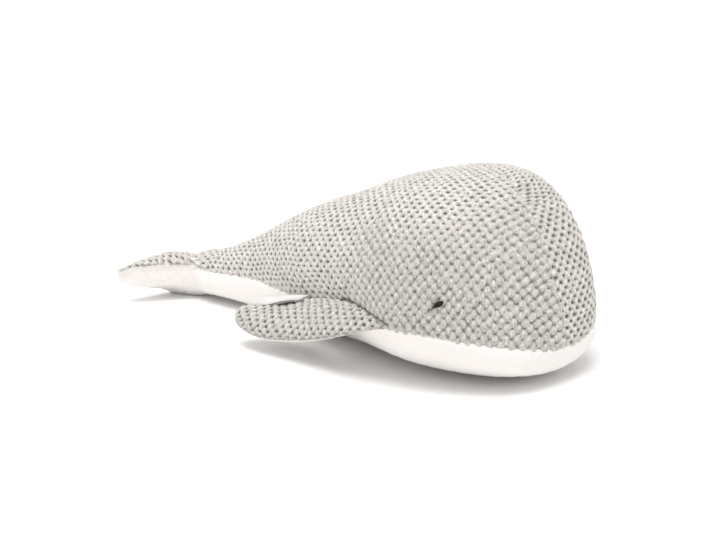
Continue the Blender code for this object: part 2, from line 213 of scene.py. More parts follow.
def section_points(path, angle):
    """Points on the right side of the body. Over the widest level a section is the
    width times a power of the cosine and the height times a power of the sine of an
    angle, and under it the same with powers of its own."""
    x, width, top, _, bottom, level = (part[:, None] for part in section_at(path))
    cosine, sine = np.maximum(np.cos(angle), 0), np.abs(np.sin(angle))
    over = angle >= 0
    y = width * np.where(over, cosine ** back_powers[0], cosine ** belly_powers[0])
    z = np.where(over, level + (top - level) * sine ** back_powers[1],
                 level - (level - bottom) * sine ** belly_powers[1])
    return np.stack(np.broadcast_arrays(x, -y, z), -1)


def seam_angle(path):
    """The angle at which a section reaches the height of its side seam."""
    _, _, top, seam, bottom, level = section_at(path)
    over = np.clip((seam - level) / np.maximum(top - level, 1e-9), 0, 1)
    under = np.clip((level - seam) / np.maximum(level - bottom, 1e-9), 0, 1)
    return np.arcsin(over ** (1 / back_powers[1])) \
        - np.arcsin(under ** (1 / belly_powers[1]))


def evened(path, end_angle, shares):
    """Points of the right side at equal shares of the length from the side seam to
    the end angle, and the length of each section from there."""
    start = seam_angle(path)
    fine = np.linspace(0, 1, 321)[None, :]
    angles = start[:, None] + (end_angle - start[:, None]) * fine
    length = run_lengths(section_points(path, angles))
    wanted = np.array([np.interp(shares * run[-1], run, angle)
                       for run, angle in zip(length, angles)])
    return section_points(path, wanted), length[:, -1]


def both_sides(right):
    """A grid from the right side seam to the middle, carried on to the left one as its
    mirror image."""
    return np.concatenate([right, right[:, -2::-1] * (1.0, -1.0, 1.0)], 1)


_, back_girth = evened(np.array([widest_x]), np.pi / 2, np.linspace(0, 1, 2))
print("from side seam to middle seam at the widest", round(float(back_girth[0]), 4))

# %% [markdown]
# The knit is a lattice of bobbles set like bricks: one on each corner of a cell and
# one in its middle, with small holes between. An image of knit could be wrapped round
# the toy, but numbers for column and row at each place let the bobbles be real form
# and follow the cloth as it was cut. Along the body the columns lean back near the
# side seam and the rows climb from it.

# %% Where the knit's columns and rows run
tail_x = cut_x + 14 * mm         # the fluke's own cloth begins here
row_period = 7.7 * mm
# Length along the side seam from the cut, and the width of a column there
column_places = np.array([-80, 30, 60, 90, 120, 150, 170, 185, 200, 215, 230, 250, 270,
                          290, 420]) * mm
column_widths = np.array([7.2, 7.3, 8.3, 8.3, 7.5, 8.8, 9.1, 9.4, 11.2, 14.2, 15.2, 14.0,
                          9.6, 7.0, 6.6]) * mm
# Lengths along the seam, and how far the rows have climbed there
climb_places = np.array([-80, 30, 60, 90, 120, 150, 180, 210, 240, 260, 280, 300]) * mm
row_climbs = np.array([0, 0, 2, 7, 12, 15.5, 18.5, 22, 27, 31.5, 34, 35]) * mm
closing_start, closing_end = 200 * mm, 265 * mm
closing = 200.0                  # columns more per square metre of length and height
lean_top = 42 * mm
lean = 1050.0                    # columns per square metre under that height


def seam_lengths(path):
    """Length along the side seam from the cut to each place on the path."""
    fine = np.linspace(cut_x, path_end, 1201)
    seam = section_points(fine, seam_angle(fine)[:, None])[:, 0]
    return np.interp(path, fine, run_lengths(seam[None])[0])


def counted(at, places, widths):
    """How many columns fit up to a place: the sum of one over the width."""
    fine = np.linspace(places[0], places[-1], 1001)
    count = np.cumsum(1 / np.interp(fine, places, widths)) * (fine[1] - fine[0])
    return np.interp(at, fine, count)


def body_columns(along, up):
    """Column number on the body: counted along the seam, plus the height times the
    closing, less the square of the height still missing to the end of the lean."""
    closed = closing * np.clip(along - closing_start, 0, closing_end - closing_start)
    return counted(along, column_places, column_widths) + up * closed \
        - lean * np.clip(lean_top - up, 0, None) ** 2


seam_length = seam_lengths(path_end)
print("side seam", round(float(seam_length), 4), "columns along it",
      round(float(counted(seam_length, column_places, column_widths))))

# %% [markdown]
# The head wears the cloth in another way: its columns stand in upright planes that
# all face one way, and its rows lie in tilted planes. One lattice for the whole body
# would squeeze the bobbles at the nose, so the head gets its own, and the two are
# blended over the shoulders. The left panel has a third one over its front.

# %% The knit over the head
# Which way the head's columns face, and their width by the place that way
head_facing = np.radians(22)
head_places = np.array([30, 60, 80, 100, 115, 150, 160, 190]) * mm
head_widths = np.array([8.9, 7.6, 6.9, 6.35, 6.3, 6.5, 6.0, 5.2]) * mm
head_row_period = 7.85 * mm
head_row_climbs = (0.10, 0.21)   # of its row planes, to the front and to the side
head_section = 118 * mm          # where its rows are counted
head_start, head_end = 52 * mm, 78 * mm
# Middle and reach of a patch on the shoulder, that way and in height
shoulder_patch = ((65 * mm, 3 * mm), (60 * mm, 40 * mm))
# The left front: columns a radian at a level and more for each metre under it, how
# strongly they bend away from another level, and how the rows fall
front_axis = 115 * mm
front_count, front_level, front_gain = 6.6, 90 * mm, 55.0
front_bend, front_bend_level = 400.0, 72 * mm
front_row_period = 6.8 * mm
front_row_falls = (0.15, 0.03)   # to the front and to the side
# Middle and reach of a patch where it meets the rest, round the axis and in height
front_patch = ((np.radians(65), 0.06), (75 * mm, 20 * mm))
front_turns = np.radians((85, 45))  # where it begins and where it is whole
front_tops = (130 * mm, 102 * mm)


def between(limits, share):
    """The first limit at a share of 0, the second at 1, and in step between them."""
    return limits[0] + (limits[1] - limits[0]) * share


def folded(points):
    """X, the distance from the toy's middle plane, and the height of each point."""
    return points[..., 0], np.abs(points[..., 1]), points[..., 2]


def head_level(points):
    """Height over a plane that rises towards the front and the side."""
    x, y, z = folded(points)
    return z - head_row_climbs[0] * x - head_row_climbs[1] * y


def within(patch, *values):
    """Where each value lies within its reach of its middle."""
    return np.all([np.abs(value - middle) < reach
                   for value, (middle, reach) in zip(values, patch)], axis=0)


def knit_lattice(points, along, up):
    """Column and row numbers on a back panel, the head's blended into the body's. The
    head's are first moved to agree with the body's on a patch of the shoulder."""
    columns = body_columns(along, up)
    rows = (up - np.interp(along, climb_places, row_climbs)) / row_period
    x, y, _ = folded(points)
    facing = x * np.cos(head_facing) - y * np.sin(head_facing)
    head_columns = counted(facing, head_places, head_widths)
    shares = np.linspace(0, 1, 161)
    section, girth = evened(np.array([head_section]), np.pi / 2, shares)
    level, levels = head_level(points), head_level(section[0])
    head_rows = (np.interp(level, levels, shares * girth[0])
                 + np.minimum(level - levels[0], 0)) / head_row_period
    meeting = within(shoulder_patch, facing, up)
    head_columns += np.median((columns - head_columns)[meeting])
    head_rows += np.median((rows - head_rows)[meeting])
    share = ease(facing, head_start, head_end)
    return between((columns, head_columns), share), between((rows, head_rows), share)


def front_lattice(points, columns, rows):
    """The left panel was cut the other way round: over its front the columns stand
    upright round an axis and the rows lie nearly level, up to the crown of the head."""
    x, y, z = folded(points)
    turn = np.arctan2(y, x - front_axis)
    front_columns = turn * (front_count + front_gain * (front_level - z)) \
        + front_bend * (z - front_bend_level) ** 2
    front_rows = (z + front_row_falls[0] * x + front_row_falls[1] * y) / front_row_period
    meeting = within(front_patch, turn, z)
    front_columns -= np.median((columns + front_columns)[meeting])
    front_rows += np.median((rows - front_rows)[meeting])
    share = ease(turn, *front_turns) * ease(z, *front_tops)
    return between((-columns, front_columns), share), between((rows, front_rows), share)


# %% [markdown]
# A bobble is a small oval cushion, taller than wide. Thousands of little meshes could
# be set on the cloth, but a height worked out at each place keeps it one closed
# sheet. Two lattices of cushions, half a cell apart, are laid over each other and the
# higher one counts, which leaves the creases and holes of the knit by itself. A slow
# drift and a small change from bobble to bobble keep it from looking stamped.

# %% Bobbles
bobble_height = 2.2 * mm
bobble_reaches = (0.385, 0.44)   # shares of a column and of a row
bobble_power = 1.7
bobble_roundness = 0.55          # the power that rounds off its crown
open_growth = 0.08               # how much larger bobbles are in open cloth
hole_reach = 0.20                # share of a column
hole_squash = 0.62               # a hole's height over its width
hole_cut = 0.6                   # how much of the height an open hole takes away
# Least and most, from bobble to bobble and from hole to hole
bobble_shifts = (-0.035, 0.035)
bobble_sizes = (0.94, 1.06)
bobble_crowns = (0.86, 1.14)
hole_sizes = (0.75, 1.25)


def drifted(columns, rows):
    """The lattice moved a little by slow waves."""
    across = columns + 0.05 * np.sin(rows * 1.7 + 0.6 * columns) \
        + 0.04 * np.sin(columns * 0.83 + 1.9)
    up = rows + 0.05 * np.sin(columns * 1.3 + 0.8) + 0.035 * np.sin(rows * 2.1 - columns)
    return across, up


def scatter(limits, column, row, seed):
    """A value between two limits for each cell, set by the broken part of a sine that
    is made very large."""
    value = np.sin(column * 12.9898 + row * 78.233 + seed * 37.719) * 43758.5453
    return between(limits, value - np.floor(value))


def bobbles(columns, rows, openness):
    """Height of the knit from 0 in the holes to 1 on the bobbles, and how near each
    place is to the middle of a hole. A cushion is one less the powers of the distances
    over its reaches, to a power under one, and a hole is a bell. Where the cloth is
    pulled open the cushions run together and the holes show."""
    columns, rows = drifted(columns, rows)
    heights, holes = [], []
    for shift in (0.0, 0.5):
        column, row = np.round(columns - shift), np.round(rows - shift)
        aside = columns - shift - column + scatter(bobble_shifts, column, row, shift)
        above = rows - shift - row + scatter(bobble_shifts, column, row, shift + 2)
        size = scatter(bobble_sizes, column, row, shift + 4) * (1 + open_growth * openness)
        shape = np.abs(aside / (bobble_reaches[0] * size)) ** bobble_power \
            + np.abs(above / (bobble_reaches[1] * size)) ** bobble_power
        cushion = np.clip(1 - shape, 0, None) ** bobble_roundness
        heights.append(cushion * scatter(bobble_crowns, column, row, shift + 6))
        column, row = np.round(columns - 0.5 + shift), np.round(rows - shift)
        aside, above = columns - 0.5 + shift - column, rows - shift - row
        width = hole_reach * scatter(hole_sizes, column, row, shift + 8)
        holes.append(np.exp(-(aside / width) ** 2 - (above / (hole_squash * width)) ** 2))
    hole = np.maximum(*holes)
    return np.maximum(*heights) * (1 - hole_cut * openness * hole), hole


cell = np.linspace(0, 1, 65)
cell_knit = bobbles(*np.meshgrid(cell, cell), 1.0)[0]
print("mean height over a cell of open cloth", round(float(cell_knit.mean()), 3))

# %% [markdown]
# Near a seam the bobbles are pressed flat, so one number, the relief, fades them out
# there. In the creases and holes little light gets out between the fibres. Real
# shadow alone leaves them too pale, so the same lattice also gives painted shade,
# which darkens the yarn's colour there.

# %% Height and painted shade of the knit
flat_share = 0.45                # where cloth without bobbles lies in their height
sunk_share = 0.92                # how much of that height lies inside the form
# Painted shade: how much darker creases, holes and all closed cloth are drawn
painted_crease_shade, open_crease_loss = 0.50, 0.32
crease_height, crease_power = 0.6, 1.2  # where a crease begins, and how it deepens
painted_hole_shade, hole_power = 1.06, 1.1
painted_closed_shade = 0.16              # painted shade over the whole of closed cloth


def knit_rise(knit, relief, height=bobble_height):
    """How far the knit's face stands over the form: the bobbles' height by the relief,
    a flat where there is none, less the share that lies inside the form."""
    return height * (knit * relief + flat_share * (1 - relief) - sunk_share)


def painted_knit_shade(knit, hole, relief, openness):
    """Painted shade, how much darker the yarn is drawn: grey in the creases of closed
    cloth and a little over all of it, nearly black in the holes of open cloth."""
    crease = np.clip(1 - knit / crease_height, 0, 1) ** crease_power
    return relief * (crease * (painted_crease_shade - open_crease_loss * openness)
                     + painted_hole_shade * hole ** hole_power * openness) \
        + painted_closed_shade * (1 - openness)


print("shade of a closed crease", round(float(painted_knit_shade(0.0, 0.0, 1.0, 0.0)), 2),
      "and of an open hole", round(float(painted_knit_shade(0.0, 1.0, 1.0, 1.0)), 2))

# %% [markdown]
# A cloth panel is a grid of points moved along their normals. Solidify could give it
# its thickness, but it would double every small face. Here the back layer is a coarser
# grid, and a strip of triangles joins the two round the border, so each panel is one
# closed piece with a fine face and few triangles behind.

# %% From a grid to a closed panel
coarse = 6


def normals_of(points, sign, tip=None):
    """Unit normals of a grid: the cross product of its steps across and along. Where
    its last row is a single point, the tip gives the normal there."""
    turned = np.cross(np.gradient(points, axis=1), np.gradient(points, axis=0))
    size = np.linalg.norm(turned, axis=2, keepdims=True)
    normals = sign * turned / np.maximum(size, 1e-12)
    if tip is not None:
        normals[-1] = tip
    return normals


def border_of(numbers):
    """The point numbers round the border of a grid of them."""
    return np.concatenate([numbers[0, :-1], numbers[:-1, -1],
                           numbers[-1, :0:-1], numbers[:0:-1, 0]])


def quads_of(numbers):
    """The four corners of every face of a grid of point numbers."""
    return np.stack([numbers[:-1, :-1], numbers[1:, :-1], numbers[1:, 1:],
                     numbers[:-1, 1:]], -1).reshape(-1, 4)


def panel_faces(size, back_size):
    """Corners of all faces of a closed panel: the quads of both layers, and a border
    strip in which each coarse step takes a fan of fine steps."""
    fine = np.arange(np.prod(size)).reshape(size)
    behind = fine.size + np.arange(np.prod(back_size)).reshape(back_size)
    fine_ring, back_ring = border_of(fine), border_of(behind)
    nearest = back_ring[np.arange(len(fine_ring)) // coarse]
    fans = np.stack([np.roll(fine_ring, -1), fine_ring, nearest], -1)
    corners = np.roll(fine_ring[::coarse], -1)
    strips = np.stack([corners, back_ring, np.roll(back_ring, -1)], -1)
    return (np.concatenate([quads_of(fine), quads_of(behind)[:, ::-1]]),
            np.concatenate([fans, strips]))


small_panel = panel_faces((2 * coarse + 1, coarse + 1), (3, 2))
print("a small panel has", *(len(faces) for faces in small_panel), "quads and triangles")

# %% [markdown]
# Whole arrays go into the mesh at once, which is far quicker than face by face. The
# knit's column and row numbers become a UV map and its painted shade an attribute,
# for the finish to follow. Last, points that meet at the nose are merged.

# %% A panel as an object
def panel_object(name, face, normals, finish, fields, thickness=cloth):
    """A closed panel: its face, and its back layer one thickness behind. fields are
    values of each face point: pairs become a UV map, single ones an attribute."""
    back = (face - normals * thickness)[::coarse, ::coarse]
    points = np.concatenate([face.reshape(-1, 3), back.reshape(-1, 3)])
    quads, triangles = panel_faces(face.shape[:2], back.shape[:2])
    loops = np.concatenate([quads.ravel(), triangles.ravel()])
    starts = np.concatenate([np.arange(len(quads)) * 4,
                             len(quads) * 4 + np.arange(len(triangles)) * 3])
    mesh = bpy.data.meshes.new(name)
    mesh.vertices.add(len(points))
    mesh.vertices.foreach_set("co", points.astype(np.float32).ravel())
    mesh.loops.add(len(loops))
    mesh.loops.foreach_set("vertex_index", loops.astype(np.int32))
    mesh.polygons.add(len(starts))
    mesh.polygons.foreach_set("loop_start", starts.astype(np.int32))
    mesh.update(calc_edges=True)
    for field, values in fields.items():
        behind_values = values[::coarse, ::coarse]
        if values.ndim == 3:
            both = np.concatenate([values.reshape(-1, 2), behind_values.reshape(-1, 2)])
            layer = mesh.uv_layers.new(name=field)
            layer.data.foreach_set("uv", both[loops].astype(np.float32).ravel())
        else:
            both = np.concatenate([values.ravel(), 0 * behind_values.ravel()])
            layer = mesh.attributes.new(field, "FLOAT", "POINT")
            layer.data.foreach_set("value", both.astype(np.float32))
    whole = bmesh.new()
    whole.from_mesh(mesh)
    bmesh.ops.remove_doubles(whole, verts=whole.verts, dist=1e-6)
    if whole.calc_volume(signed=True) < 0:
        bmesh.ops.reverse_faces(whole, faces=whole.faces)
    for polygon in whole.faces:
        polygon.smooth = True
    open_edges = sum(1 for edge in whole.edges if len(edge.link_faces) != 2)
    whole.to_mesh(mesh)
    whole.free()
    mesh.materials.append(finish)
    thing = bpy.data.objects.new(name, mesh)
    bpy.context.scene.collection.objects.link(thing)
    print(name, len(mesh.polygons), "faces, open edges", open_edges)
    return thing


# %% [markdown]
# A finish is a small network of nodes that lead to one shader. They could be set up
# one by one in the node editor. A few short calls do the same and are easy to read.

# %% Short calls for nodes
class Nodes:
    """A node tree whose nodes are added and joined by short calls."""

    def __init__(self, tree):
        self.tree = tree

    def add(self, kind, settings=None, **links):
        """A new node. Each further word names a socket, or numbers it after an i, and
        gives it a value or a link."""
        node = self.tree.nodes.new(kind)
        for key, value in (settings or {}).items():
            setattr(node, key, value)
        for key, value in links.items():
            socket = node.inputs[int(key[1:])] if key[0] == "i" and key[1:].isdigit() \
                else node.inputs[key.replace("_", " ")]
            if isinstance(value, bpy.types.NodeSocket):
                self.tree.links.new(value, socket)
            else:
                socket.default_value = value
        return node

    def join(self, socket, node, name):
        """A link from a socket to a named input of a named node."""
        self.tree.links.new(socket, self.tree.nodes[node].inputs[name])

    def math(self, operation, first, second):
        """Two values or links put together by one operation."""
        return self.add("ShaderNodeMath", {"operation": operation},
                        i0=first, i1=second).outputs[0]

    def noise(self, vector, scale, detail=2.0, roughness=0.5):
        """Noise from 0 to 1, with so many swells a unit."""
        return self.add("ShaderNodeTexNoise", Vector=vector, Scale=scale,
                        Detail=detail, Roughness=roughness).outputs["Fac"]

    def mix(self, share, first, second):
        """A share between two colours, the first of which may be a link."""
        if not isinstance(first, bpy.types.NodeSocket):
            first = (*first, 1.0)
        return self.add("ShaderNodeMix", {"data_type": "RGBA"},
                        i0=share, i6=first, i7=(*second, 1.0)).outputs[2]

    def weighed(self, links, shares):
        """The sum of two links, each times its share."""
        return self.math("ADD", *(self.math("MULTIPLY", link, share)
                                  for link, share in zip(links, shares)))

    def spread(self, value, low, high):
        """The value moved from 0 and 1 to the two limits, and kept between them."""
        return self.add("ShaderNodeMapRange", Value=value, To_Min=low,
                        To_Max=high).outputs[0]


class Finish(Nodes):
    """A cloth's material, which also knows each place in its piece."""

    def __init__(self, name, colour, roughness, sheen):
        self.made = bpy.data.materials.new(name)
        self.made.use_nodes = True
        super().__init__(self.made.node_tree)
        for key, value in (("Base Color", (*colour, 1.0)), ("Roughness", roughness),
                           ("Specular IOR Level", 0.2), ("Sheen Weight", sheen),
                           ("Sheen Roughness", 0.5)):
            self.tree.nodes["Principled BSDF"].inputs[key].default_value = value
        self.place = self.add("ShaderNodeTexCoord").outputs["Object"]

    def colour(self, socket):
        """The link that colours the cloth."""
        self.join(socket, "Principled BSDF", "Base Color")

    def bump(self, height, strength, distance):
        """Small bumps by a height, as strong and as high as given."""
        node = self.add("ShaderNodeBump", Height=height, Strength=strength,
                        Distance=distance)
        self.join(node.outputs[0], "Principled BSDF", "Normal")


# %% [markdown]
# The yarn is a warm light grey whose strands run up each bobble, and shade is painted
# into its creases and holes. A photograph of knit could be laid on, but it would bring
# its own light and shadow along. Noise that is stretched along the lattice gives
# strands only, and it stays put when the toy moves.

# %% The knit's finish
strand_stretch = (5.0, 2.4, 1.0)  # strands a column, and their breaks a row


def knit_finish():
    """Grey yarn: a mix of light and dark strands with fluff between, evened out in
    patches, and darkened towards a near-black colour by the painted shade that each
    mesh carries."""
    knit = Finish("grey_knit", (0.60, 0.58, 0.55), 0.92, 0.25)
    dark_strand, light_strand = (0.43, 0.405, 0.376), (1.0, 0.965, 0.91)
    even_yarn, painted_shade_colour = (0.66, 0.633, 0.595), (0.075, 0.066, 0.060)
    lattice = knit.add("ShaderNodeUVMap", {"uv_map": "knit"}).outputs[0]
    painted_shade = knit.add("ShaderNodeAttribute", {"attribute_name": "painted_shade"}).outputs["Fac"]
    stretched = knit.add("ShaderNodeMapping", Vector=lattice,
                         Scale=strand_stretch).outputs[0]
    strands = knit.noise(stretched, 1.0, 2.0, 0.6)
    fluff = knit.noise(knit.place, 1000.0, 2.0, 0.7)
    patch = knit.noise(knit.place, 60.0)
    yarn = knit.weighed((strands, fluff), (0.55, 0.45))
    contrast = knit.add("ShaderNodeMapRange", Value=yarn, From_Min=0.36, From_Max=0.64)
    light = knit.mix(contrast.outputs[0], dark_strand, light_strand)
    tinted = knit.mix(knit.spread(patch, -0.2, 0.4), light, even_yarn)
    knit.colour(knit.mix(painted_shade, tinted, painted_shade_colour))
    knit.bump(yarn, 0.9, 0.9 * mm)
    return knit.made


finishes = {"knit": knit_finish()}
print("the knit's nodes:", len(finishes["knit"].node_tree.nodes))

# %% [markdown]
# The plush is a short, almost white pile with a soft sheen. Hair strands would be the
# true way, but at this distance only the mottle of their tips is seen, so noise does.
# The eyes' thread and the label's ribbon are finer still and get one noise each.

# %% Plush, thread and ribbon
def plush_finish():
    """White pile: fine noise for its tips, slow noise for how it lies."""
    plush = Finish("white_plush", (0.90, 0.86, 0.83), 0.95, 0.35)
    laid, raised, tip = (0.97, 0.925, 0.895), (1.0, 0.965, 0.935), (0.86, 0.82, 0.79)
    tips = plush.noise(plush.place, 1600.0, 3.0, 0.65)
    lie = plush.noise(plush.place, 120.0, 3.0, 0.6)
    shade = plush.mix(plush.spread(lie, 0.0, 1.0), laid, raised)
    plush.colour(plush.mix(plush.spread(tips, 0.0, 0.25), shade, tip))
    pile = plush.weighed((tips, lie), (0.5, 0.5))
    plush.bump(pile, 0.5, 0.6 * mm)
    return plush.made


def woven_finish(name, colours, roughness, sheen, scale, strength, distance):
    """Thread or ribbon: one fine noise between two colours, also used as bump."""
    made = Finish(name, colours[0], roughness, sheen)
    weave = made.noise(made.place, scale)
    made.colour(made.mix(weave, *colours[1:]))
    made.bump(weave, strength, distance)
    return made.made


finishes["plush"] = plush_finish()
finishes["thread"] = woven_finish(
    "black_thread", ((0.012, 0.009, 0.009), (0.008, 0.006, 0.006), (0.03, 0.024, 0.023)),
    0.38, 0.0, 2500.0, 0.4, 0.2 * mm)
finishes["ribbon"] = woven_finish(
    "white_ribbon", ((0.78, 0.77, 0.75), (0.70, 0.69, 0.67), (0.86, 0.85, 0.83)),
    0.45, 0.1, 2200.0, 0.25, 0.15 * mm)
print("finishes", sorted(finishes))

# %% [markdown]
# Cloth under tension dips where it is held: along its seams, and at the eye, whose
# stitches pull the cheek in. Sculpting could add this, but as moves along the normal,
# by the distance to the seam or the eye, the dips follow any change of the form.

# %% Seams, dimples and the lie of the stuffing
# Reach and depth of the dip along each seam
seam_dips = {"side": (1.9 * mm, 0.5 * mm), "middle": (1.2 * mm, 0.8 * mm),
             "plush": (1.6 * mm, 1.3 * mm), "fluke": (1.9 * mm, 1.5 * mm),
             "flipper": (1.5 * mm, 1.0 * mm)}
edge_overlap, overlap_reach = 2.0 * mm, 3 * mm  # how far bobbles lap over the plush
plush_sink = 0.3 * mm            # how far the plush lies inside the form
stuffing_swell, pile_swell = 0.7 * mm, 0.3 * mm
dimple_depth, dimple_reach = 1.2 * mm, 8 * mm
eye_middle = np.array([154.7, -82.2, 62.1]) * mm
eye_facing = np.array([0.52, -0.85, 0.09])
root_middle, root_half = nose - 113 * mm, 34.5 * mm
root_height, root_crown = 43.6 * mm, 6.0 * mm
# Where a flipper's root meets the body: reach, dip and painted shadow along that line
root_reach, root_depth, root_painted_shadow = 1.4 * mm, 0.8 * mm, 0.9
root_ends = (1.04, 0.94)         # where its line fades out, in halves of its length
nose_fade = (0.5 * mm, 6 * mm)   # round the nose, where cloth stays on the form


def from_ends(lengths):
    """Length from each place of a row to the nearer end of the row."""
    return np.minimum(lengths, lengths[:, -1:] - lengths)


def distance_to(place, points):
    """Straight distance to each point of a grid, from one place or a row of them."""
    return np.linalg.norm(points - place, axis=-1)


def seam_dip(distance, seam):
    """How far cloth is drawn in near a seam: a half bell of the distance."""
    reach, depth = seam_dips[seam]
    return depth * np.exp(-(distance / reach) ** 2)


def stuffing_lumps(points):
    """Slow swells of the stuffing: a sum of long sine waves."""
    x, y, z = folded(points)
    waves = (np.sin(x * 61 + z * 37 + 0.4) + np.sin(x * 97 - y * 71 + 2.1)
             + 0.7 * np.sin(z * 113 + x * 41 + 4.0) + 0.5 * np.sin(x * 173 + z * 139))
    return stuffing_swell * waves / 3.2


def pile_lumps(points):
    """Small swells of the plush: a sum of short sine waves."""
    x, y, z = np.moveaxis(points, -1, 0)
    waves = (np.sin(x * 523 + y * 311 + 1.0) + np.sin(y * 611 - z * 433 + x * 97)
             + np.sin(x * 877 + z * 709 + 2.5) + np.sin(y * 1013 + x * 655 + 4.0))
    return pile_swell * waves / 4


def plush_rise(points, from_seam, seam):
    """How far the plush stands over the form: its pile, less the dip at the seam and
    the depth to which it lies inside the form."""
    return pile_lumps(points) - plush_sink - seam_dip(from_seam, seam)


def eye_dimple(points):
    """The cheek drawn in round the eye: a bell of the distance to it."""
    mirrored = np.stack([points[..., 0], -np.abs(points[..., 1]), points[..., 2]], -1)
    return dimple_depth * np.exp(-(distance_to(eye_middle, mirrored) / dimple_reach) ** 2)


def root_line(points):
    """How near each place is to the line where a flipper's upper face meets the body:
    a bell of the height over half an ellipse that stands on the flipper's root."""
    x, _, z = folded(points)
    aside = (x - root_middle) / root_half
    line = root_height + root_crown * np.sqrt(np.clip(1 - aside ** 2, 0, 1))
    return np.exp(-((z - line) / root_reach) ** 2) * ease(np.abs(aside), *root_ends)


# %% [markdown]
# Both back panels have the same outline, mirrored at the middle seam. Each is worked
# out for the right side and then turned over to its own. Their knit differs: the left
# one was cut the other way round, and its front is pulled open.

# %% Back panels
back_columns, back_rows = 504, 186
side_relief = (0.5, 1.0)         # at the side seam, and away from it
# Distances from the middle seam, the nose and the side seam in which it grows
middle_growth, nose_growth, side_growth = (0.1 * mm, 1 * mm), (1 * mm, 5 * mm), (0, 4 * mm)
# Open cloth also gets nearly black painted shade in its holes and less on its creases
# Where cloth is pulled open: facing forward on the left, facing up, behind the head
front_facing, top_facing = (0.35, 0.6), (0.35, 0.75)
open_places = (100 * mm, 40 * mm)
open_flattening = 0.35           # how much of their height open bobbles lose
front_painted_hole_gain = 0.35           # widens the painted shade of the holes over the left front
swell_start = (20 * mm, 60 * mm)  # along the side seam
sides = ((-1, "right"), (1, "left"))


def side_mirrored(values, side):
    """The values with Y turned over for the left side."""
    return values * np.array([1.0, -side, 1.0])


def make_back(side, word):
    """The knit from the side seam to the middle seam and from tail to nose."""
    path = np.linspace(tail_x, path_end, back_columns + 1)
    shares = np.linspace(0, 1, back_rows + 1)
    points, girth = evened(path, np.pi / 2, shares)
    up = shares[None, :] * girth[:, None]
    along = seam_lengths(path)[:, None]
    columns, rows = knit_lattice(points, along, up)
    if side > 0:
        columns, rows = front_lattice(points, columns, rows)
    normals = normals_of(points, -1.0, (1.0, 0.0, 0.0))
    from_top = girth[:, None] - up
    from_nose = distance_to(points[-1, 0], points)
    front = ease(normals[..., 0], *front_facing) if side > 0 else 0
    openness = np.clip(ease(normals[..., 2], *top_facing) + front
                       + ease(points[..., 0], *open_places), 0, 1)
    knit, hole = bobbles(columns, rows, openness)
    relief = ease(from_top, *middle_growth) * ease(from_nose, *nose_growth) \
        * between(side_relief, ease(up, *side_growth))
    rise = knit_rise(knit, relief, bobble_height * (1 - open_flattening * openness))
    fade = ease(from_nose, *nose_fade)
    rise -= (seam_dip(up, "side") + seam_dip(from_top, "middle")) * fade
    rise += stuffing_lumps(points) * fade * ease(along, *swell_start)
    rise -= eye_dimple(points) + root_depth * root_line(points)
    upwards = np.gradient(points, axis=1)
    upwards /= np.maximum(np.linalg.norm(upwards, axis=2, keepdims=True), 1e-9)
    overlap = edge_overlap * np.exp(-up / overlap_reach) * fade
    face = points + normals * rise[..., None] - upwards * overlap[..., None]
    # Painted shade of creases and holes, and a painted shadow along the flipper's root
    # line
    painted_shade = painted_knit_shade(knit, hole ** (1 - front_painted_hole_gain * front), relief, openness)
    painted_shade = np.maximum(painted_shade, root_painted_shadow * root_line(points))
    thing = panel_object(f"knit_back_{word}", side_mirrored(face, side),
                         side_mirrored(normals, side), finishes["knit"],
                         {"knit": np.stack([columns, rows], -1), "painted_shade": painted_shade})
    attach(thing, "body")
    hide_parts(f"back_panel_{word}")


for side, word in sides:
    make_back(side, word)

# %% [markdown]
# The belly is one piece of plush that runs under the toy from seam to seam. It is
# smooth, a little puckered beside the seams, and flat where the toy lies on it. Its
# points come from the same sections as the back's, so the two meet along the seam.

# %% Belly panel
belly_columns, belly_rows = 336, 120
pucker_height, pucker_reach, pucker_start = 0.35 * mm, 5 * mm, 1.5 * mm
pucker_run, pucker_drift = 1.4 * mm, 13 * mm  # along the seam for each radian


def make_belly():
    """The plush from the right side seam under the belly to the left one."""
    path = np.linspace(tail_x, path_end, belly_columns + 1)
    half = np.linspace(0, 1, belly_rows // 2 + 1)
    points, girth = evened(path, -np.pi / 2, half)
    points = both_sides(points)
    down = from_ends(2 * girth[:, None] * np.linspace(0, 1, belly_rows + 1))
    normals = normals_of(points, 1.0, (1.0, 0.0, 0.0))
    along = seam_lengths(path)[:, None]
    fade = ease(distance_to(points[-1, 0], points), *nose_fade)
    wave = np.sin(along / pucker_run + 2 * np.sin(along / pucker_drift))
    pucker = pucker_height * wave \
        * np.exp(-(down / pucker_reach) ** 2) * ease(down, 0, pucker_start)
    rise = (pucker - seam_dip(down, "plush") + pile_lumps(points)) * fade - plush_sink
    face = points + normals * rise[..., None]
    face[..., 2] = np.maximum(face[..., 2], clearance)
    thing = panel_object("plush_belly", face, normals, finishes["plush"], {})
    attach(thing, "body")
    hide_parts("belly_panel", "body_filling")


make_belly()

# %% [markdown]
# The fluke is a flat pillow with two lobes. A separate pillow stuck to the tail would
# show a step. So its stock carries the body's own section on over the bend, and
# behind it the section turns into a pillow sewn round its edge. As the toy lies, the
# lobe on the right stands a little higher than the left one, and the cloth dips
# between the two.

